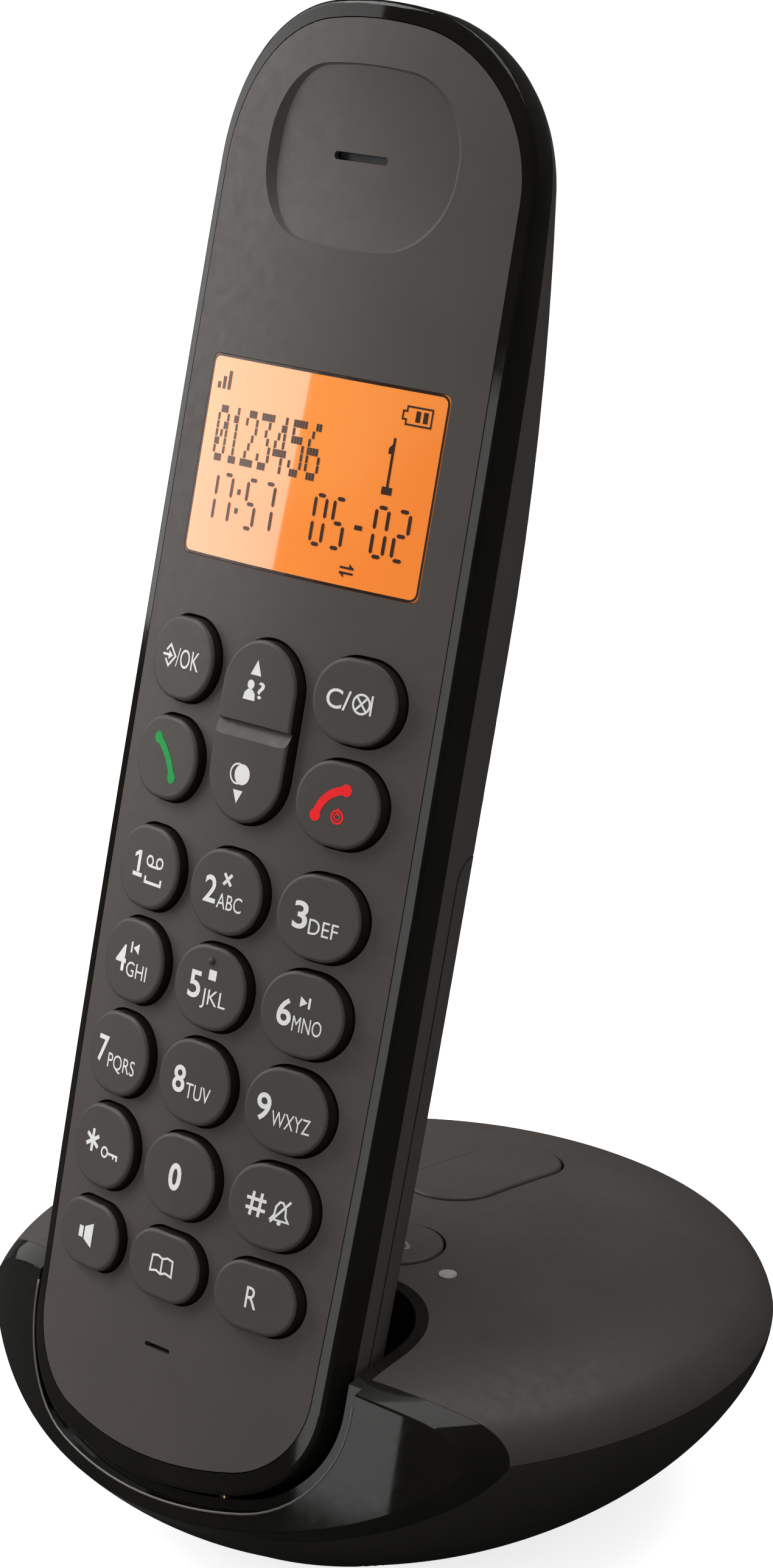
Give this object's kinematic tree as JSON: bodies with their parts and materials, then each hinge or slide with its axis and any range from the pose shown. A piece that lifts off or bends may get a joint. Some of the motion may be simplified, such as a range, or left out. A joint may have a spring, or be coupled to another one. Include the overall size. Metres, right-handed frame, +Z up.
{
  "type": "cordless phone with base",
  "caption": "Cordless phone handset with keypad and display, standing upright and leaning back in a round domed charging base.",
  "frame": {"origin": "under the centre of the base's circle, on the foot pad's resting face", "axes": "+Z up, -Y the way the keypad faces, X across the handset"},
  "size_m": [0.0886, 0.0828, 0.1665],
  "materials": {
    "case_matte": "fine matte texture",
    "case_gloss": "polished",
    "rear_matte": "matte",
    "key_plastic": "satin",
    "display_amber": "clear amber",
    "display_grey": "polarised film",
    "rubber_black": "matte",
    "board_green": "solder mask",
    "tin_can": "tinned",
    "screw_steel": "zinc plated",
    "gold_contact": "gold flash",
    "cell_wrap": "shrink sleeve",
    "light_clear": "frosted",
    "black_part": "moulded"
  },
  "bodies": {
    "base": {"top_cover": "case_matte", "bottom_cover": "rear_matte", "socket_housing": "rear_matte", "cradle_insert": "case_gloss", "foot_pad": "rubber_black", "base_screws": "screw_steel", "status_light": "light_clear", "base_board": "board_green", "base_switches": "black_part", "status_led": "light_clear", "base_shield": "tin_can", "antenna": "gold_contact", "charge_pins": "gold_contact", "line_jack": "black_part", "power_jack": "black_part"},
    "handset": {"front_cover": "case_matte", "trim_ring": "case_gloss", "rear_shell": "rear_matte", "charge_pads": "gold_contact", "handset_screws": "screw_steel", "display_lens": "display_amber", "display_module": "display_grey", "keypad_mat": "rubber_black", "handset_board": "board_green", "handset_shield": "tin_can", "earpiece": "black_part", "microphone": "tin_can", "ringer": "black_part", "battery_cells": "cell_wrap", "battery_springs": "tin_can"},
    "battery_door": {"battery_door": "rear_matte"},
    "key_rocker": {"key_rocker": "key_plastic"},
    "long_key": {"long_key": "case_matte"},
    "page_key": {"page_key": "case_matte"},
    "key_ok": {"key_ok": "key_plastic"},
    "key_clear": {"key_clear": "key_plastic"},
    "key_talk": {"key_talk": "key_plastic"},
    "key_end": {"key_end": "key_plastic"},
    "key_1": {"key_1": "key_plastic"},
    "key_2": {"key_2": "key_plastic"},
    "key_3": {"key_3": "key_plastic"},
    "key_4": {"key_4": "key_plastic"},
    "key_5": {"key_5": "key_plastic"},
    "key_6": {"key_6": "key_plastic"},
    "key_7": {"key_7": "key_plastic"},
    "key_8": {"key_8": "key_plastic"},
    "key_9": {"key_9": "key_plastic"},
    "key_star": {"key_star": "key_plastic"},
    "key_0": {"key_0": "key_plastic"},
    "key_hash": {"key_hash": "key_plastic"},
    "key_speaker": {"key_speaker": "key_plastic"},
    "key_book": {"key_book": "key_plastic"},
    "key_redial": {"key_redial": "key_plastic"}
  },
  "joints": [
    {"name": "handset_lift", "type": "slide", "parent": "base", "child": "handset", "axis": [0, 0.2561, 0.9666], "range_m": [0, 0.06]},
    {"name": "battery_door_slide", "type": "slide", "parent": "handset", "child": "battery_door", "axis": [0, -0.2561, -0.9666], "range_m": [0, 0.003]},
    {"name": "key_rocker_tilt", "type": "hinge", "parent": "handset", "child": "key_rocker", "pos_m": [0, -0.01338, 0.09118], "axis": [1, 0, 0], "range_deg": [-3, 3], "stiffness_Nm_per_rad": 0.05},
    {"name": "long_key_press", "type": "slide", "parent": "base", "child": "long_key", "axis": [0, 0, -1], "range_m": [0, 0.0006], "stiffness_N_per_m": 800},
    {"name": "page_key_press", "type": "slide", "parent": "base", "child": "page_key", "axis": [0, 0, -1], "range_m": [0, 0.0006], "stiffness_N_per_m": 800},
    {"name": "key_ok_press", "type": "slide", "parent": "handset", "child": "key_ok", "axis": [0, 0.9666, -0.2561], "range_m": [0, 0.0006], "stiffness_N_per_m": 600},
    {"name": "key_clear_press", "type": "slide", "parent": "handset", "child": "key_clear", "axis": [0, 0.9666, -0.2561], "range_m": [0, 0.0006], "stiffness_N_per_m": 600},
    {"name": "key_talk_press", "type": "slide", "parent": "handset", "child": "key_talk", "axis": [0, 0.9666, -0.2561], "range_m": [0, 0.0006], "stiffness_N_per_m": 600},
    {"name": "key_end_press", "type": "slide", "parent": "handset", "child": "key_end", "axis": [0, 0.9666, -0.2561], "range_m": [0, 0.0006], "stiffness_N_per_m": 600},
    {"name": "key_1_press", "type": "slide", "parent": "handset", "child": "key_1", "axis": [0, 0.9666, -0.2561], "range_m": [0, 0.0006], "stiffness_N_per_m": 600},
    {"name": "key_2_press", "type": "slide", "parent": "handset", "child": "key_2", "axis": [0, 0.9666, -0.2561], "range_m": [0, 0.0006], "stiffness_N_per_m": 600},
    {"name": "key_3_press", "type": "slide", "parent": "handset", "child": "key_3", "axis": [0, 0.9666, -0.2561], "range_m": [0, 0.0006], "stiffness_N_per_m": 600},
    {"name": "key_4_press", "type": "slide", "parent": "handset", "child": "key_4", "axis": [0, 0.9666, -0.2561], "range_m": [0, 0.0006], "stiffness_N_per_m": 600},
    {"name": "key_5_press", "type": "slide", "parent": "handset", "child": "key_5", "axis": [0, 0.9666, -0.2561], "range_m": [0, 0.0006], "stiffness_N_per_m": 600},
    {"name": "key_6_press", "type": "slide", "parent": "handset", "child": "key_6", "axis": [0, 0.9666, -0.2561], "range_m": [0, 0.0006], "stiffness_N_per_m": 600},
    {"name": "key_7_press", "type": "slide", "parent": "handset", "child": "key_7", "axis": [0, 0.9666, -0.2561], "range_m": [0, 0.0006], "stiffness_N_per_m": 600},
    {"name": "key_8_press", "type": "slide", "parent": "handset", "child": "key_8", "axis": [0, 0.9666, -0.2561], "range_m": [0, 0.0006], "stiffness_N_per_m": 600},
    {"name": "key_9_press", "type": "slide", "parent": "handset", "child": "key_9", "axis": [0, 0.9666, -0.2561], "range_m": [0, 0.0006], "stiffness_N_per_m": 600},
    {"name": "key_star_press", "type": "slide", "parent": "handset", "child": "key_star", "axis": [0, 0.9666, -0.2561], "range_m": [0, 0.0006], "stiffness_N_per_m": 600},
    {"name": "key_0_press", "type": "slide", "parent": "handset", "child": "key_0", "axis": [0, 0.9666, -0.2561], "range_m": [0, 0.0006], "stiffness_N_per_m": 600},
    {"name": "key_hash_press", "type": "slide", "parent": "handset", "child": "key_hash", "axis": [0, 0.9666, -0.2561], "range_m": [0, 0.0006], "stiffness_N_per_m": 600},
    {"name": "key_speaker_press", "type": "slide", "parent": "handset", "child": "key_speaker", "axis": [0, 0.9666, -0.2561], "range_m": [0, 0.0006], "stiffness_N_per_m": 600},
    {"name": "key_book_press", "type": "slide", "parent": "handset", "child": "key_book", "axis": [0, 0.9666, -0.2561], "range_m": [0, 0.0006], "stiffness_N_per_m": 600},
    {"name": "key_redial_press", "type": "slide", "parent": "handset", "child": "key_redial", "axis": [0, 0.9666, -0.2561], "range_m": [0, 0.0006], "stiffness_N_per_m": 600}
  ]
}
